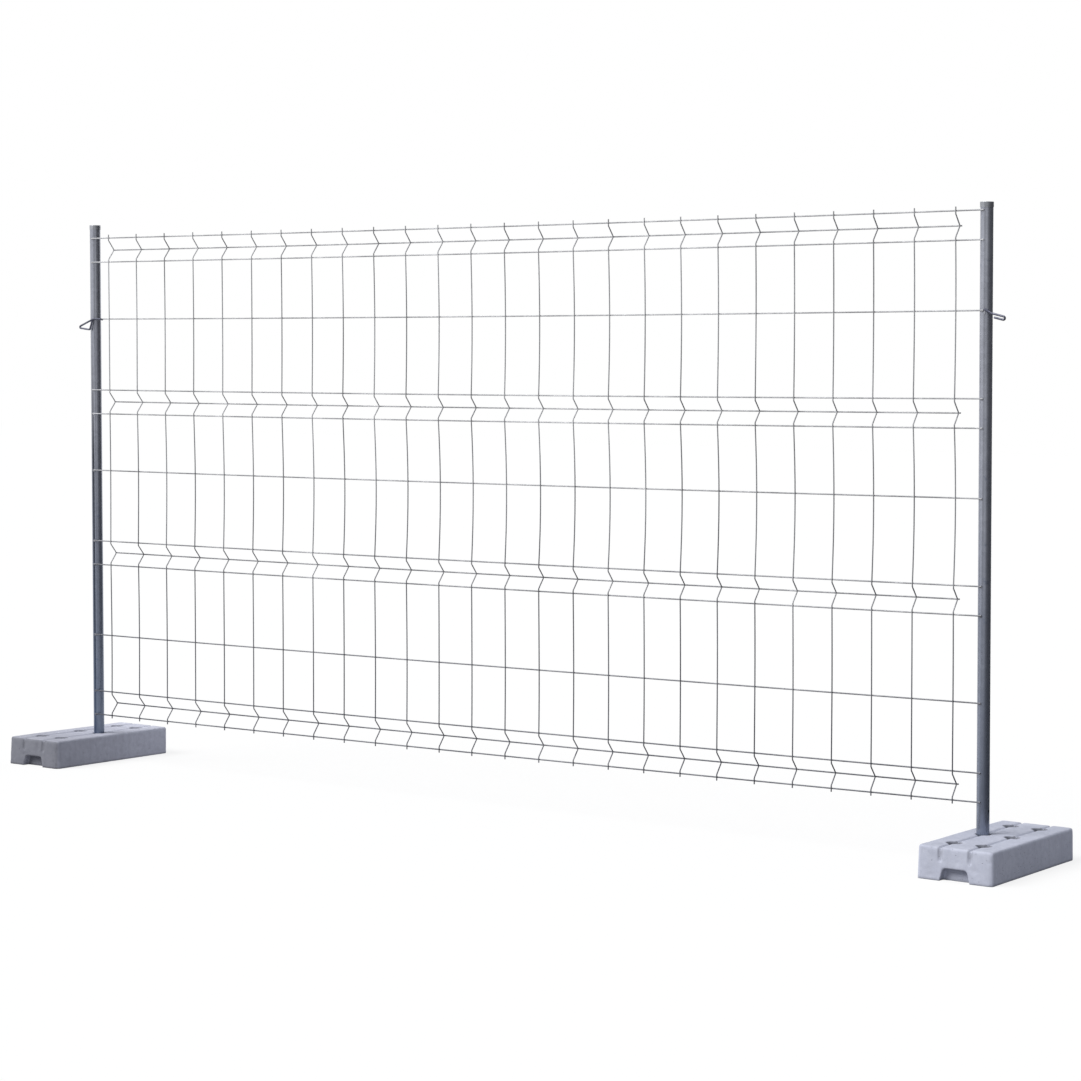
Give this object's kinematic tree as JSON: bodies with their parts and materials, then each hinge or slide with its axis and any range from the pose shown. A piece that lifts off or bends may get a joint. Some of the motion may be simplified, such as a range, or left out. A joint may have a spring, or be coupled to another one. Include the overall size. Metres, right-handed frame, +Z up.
{
  "type": "temporary fence panel",
  "caption": "Free-standing fence panel: folded wire mesh welded to steel tube posts that stand in socketed concrete feet, with a coupling eye and a coupling hook at the ends.",
  "frame": {"origin": "on the ground, midway between the two feet", "axes": "+X along the panel towards the coupling hook, +Y away from the side that the mesh is welded to, +Z up"},
  "size_m": [3.83, 0.584, 1.9435],
  "materials": {
    "mesh_wire": "galvanised",
    "post_tube": "galvanised",
    "post_cap": "galvanised",
    "hook_rod": "galvanised",
    "left_concrete": "cast concrete, darkened",
    "right_concrete": "cast concrete"
  },
  "bodies": {
    "root": {"wire_mesh": "mesh_wire", "left_post": "post_tube", "right_post": "post_tube", "left_cap": "post_cap", "right_cap": "post_cap", "left_coupling_eye": "hook_rod", "right_coupling_hook": "hook_rod", "left_foot": "left_concrete", "right_foot": "right_concrete"}
  },
  "joints": []
}
